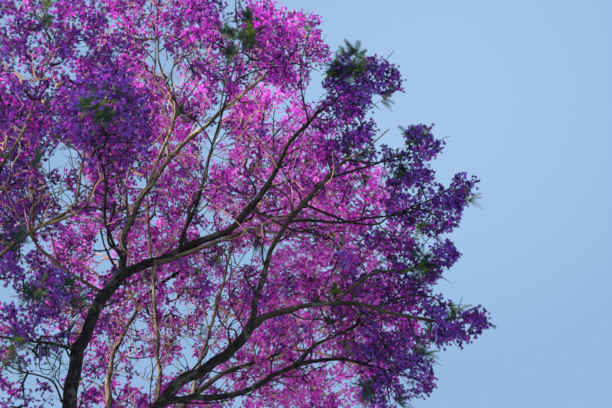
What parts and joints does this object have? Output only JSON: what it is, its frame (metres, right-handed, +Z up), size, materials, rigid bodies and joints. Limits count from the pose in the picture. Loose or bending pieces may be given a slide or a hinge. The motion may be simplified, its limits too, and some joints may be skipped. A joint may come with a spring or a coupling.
{
  "type": "jacaranda tree",
  "caption": "Whole jacaranda tree in full bloom: low forking trunk with root flare, arching limbs and open masses of violet and magenta blossom.",
  "frame": {"origin": "middle of the flat cut under the trunk, at ground level", "axes": "+Z up the trunk; the picture looks along +Y and up, with +X to its right"},
  "size_m": [12.0745, 10.169, 13.0199],
  "materials": {
    "bark": "finely furrowed grey-brown bark, matt",
    "bark_sunlit": "younger tan bark, matt",
    "blossom_violet": "soft petals, blue-violet",
    "blossom_magenta": "soft petals, magenta-purple, glowing against the light",
    "leaf": "fine ferny leaf, slightly waxy",
    "twig": "smooth young bark"
  },
  "bodies": {
    "root": {"bough_back_far": "bark_sunlit", "bough_back_left": "bark_sunlit", "bough_back_mid": "bark_sunlit", "bough_back_right": "bark_sunlit", "bough_behind": "bark_sunlit", "bough_behind_up": "bark_sunlit", "bough_crest": "bark", "bough_far_left": "bark", "bough_front": "bark", "bough_inner": "bark", "bough_left_back": "bark_sunlit", "bough_left_front": "bark", "bough_left_in": "bark", "bough_left_low": "bark", "bough_left_near": "bark", "bough_left_side": "bark", "bough_left_top": "bark", "bough_level": "bark", "bough_level_up": "bark", "bough_long": "bark", "bough_low": "bark", "bough_near": "bark", "bough_right": "bark", "bough_right_mid": "bark", "bough_right_tip": "bark", "bough_top": "bark", "bough_under": "bark", "bough_under_up": "bark", "bough_upright": "bark", "mass_back_far": "blossom_magenta", "mass_back_left": "blossom_magenta", "mass_back_mid": "blossom_magenta", "mass_back_right": "blossom_magenta", "mass_behind": "blossom_magenta", "mass_behind_up": "blossom_magenta", "mass_crest": "blossom_magenta", "mass_far_left": "blossom_magenta", "mass_front": "blossom_violet", "mass_inner": "blossom_magenta", "mass_left_back": "blossom_magenta", "mass_left_front": "blossom_violet", "mass_left_in": "blossom_magenta", "mass_left_low": "blossom_magenta", "mass_left_near": "blossom_magenta", "mass_left_side": "blossom_magenta", "mass_left_top": "blossom_magenta", "mass_level": "blossom_violet", "mass_level_up": "blossom_violet", "mass_long": "blossom_violet", "mass_near": "blossom_violet", "mass_right": "blossom_violet", "mass_right_mid": "blossom_violet", "mass_right_tip": "blossom_violet", "mass_top": "blossom_magenta", "mass_under": "blossom_violet", "mass_under_up": "blossom_magenta", "stem_back": "bark_sunlit", "stem_left": "bark", "stem_main": "bark", "trunk": "bark"}
  },
  "joints": []
}
